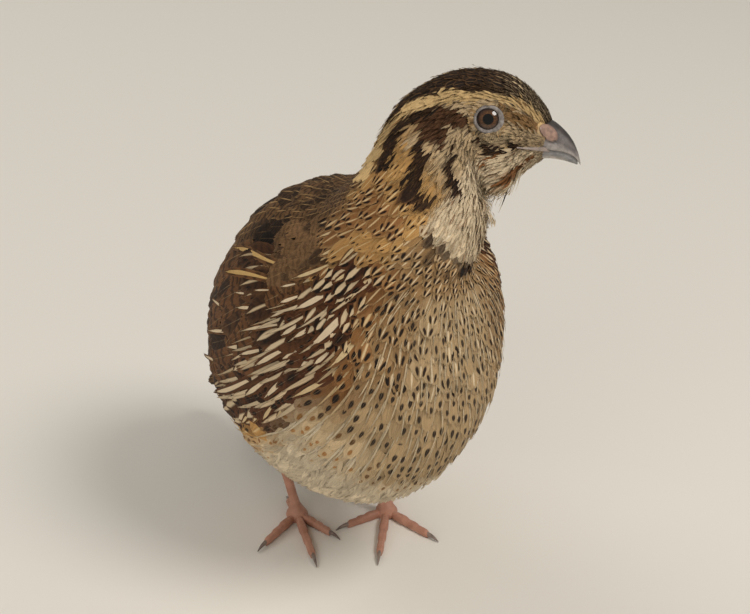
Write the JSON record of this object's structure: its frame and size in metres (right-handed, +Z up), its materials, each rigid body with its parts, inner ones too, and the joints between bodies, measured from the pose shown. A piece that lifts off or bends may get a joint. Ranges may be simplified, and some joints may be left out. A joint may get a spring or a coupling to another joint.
{
  "type": "coturnix quail",
  "caption": "Life-size still model of a standing coturnix quail hen with its head turned to its left, brown and buff spotted plumage.",
  "frame": {"origin": "centre of the bird's bounding box, on the floor under its feet", "axes": "-Y the way the body faces, +X its left side, +Z up"},
  "size_m": [0.0648, 0.1242, 0.1489],
  "materials": {
    "head_plumage": "matte, short dense feathers: dark crown, cream brow line, chestnut cheek",
    "neck_plumage": "matte, small buff feathers with dark ovals and cream shafts",
    "body_plumage": "matte, buff breast with black-brown spots, chestnut flanks, off-white belly",
    "wing_plumage": "matte, brown with fine bars and cream shaft streaks",
    "tail_plumage": "matte, brown with buff bars",
    "thigh_plumage": "matte, off-white down",
    "eye_surface": "wet gloss, brown iris and black pupil",
    "bill_horn": "satin horn, grey with a dark ridge",
    "lower_bill_horn": "satin horn, paler grey",
    "leg_skin": "dull scaled skin, pinkish flesh",
    "claw_horn": "satin horn, brown"
  },
  "bodies": {
    "root": {"head": "head_plumage", "neck": "neck_plumage", "trunk": "body_plumage", "tail": "tail_plumage", "bill_upper": "bill_horn", "bill_lower": "lower_bill_horn", "eye_left": "eye_surface", "wing_left": "wing_plumage", "thigh_left": "thigh_plumage", "shank_left": "leg_skin", "toe_inner_left": "leg_skin", "claw_inner_left": "claw_horn", "toe_middle_left": "leg_skin", "claw_middle_left": "claw_horn", "toe_outer_left": "leg_skin", "claw_outer_left": "claw_horn", "toe_hind_left": "leg_skin", "claw_hind_left": "claw_horn", "eye_right": "eye_surface", "wing_right": "wing_plumage", "thigh_right": "thigh_plumage", "shank_right": "leg_skin", "toe_inner_right": "leg_skin", "claw_inner_right": "claw_horn", "toe_middle_right": "leg_skin", "claw_middle_right": "claw_horn", "toe_outer_right": "leg_skin", "claw_outer_right": "claw_horn", "toe_hind_right": "leg_skin", "claw_hind_right": "claw_horn"}
  },
  "joints": []
}
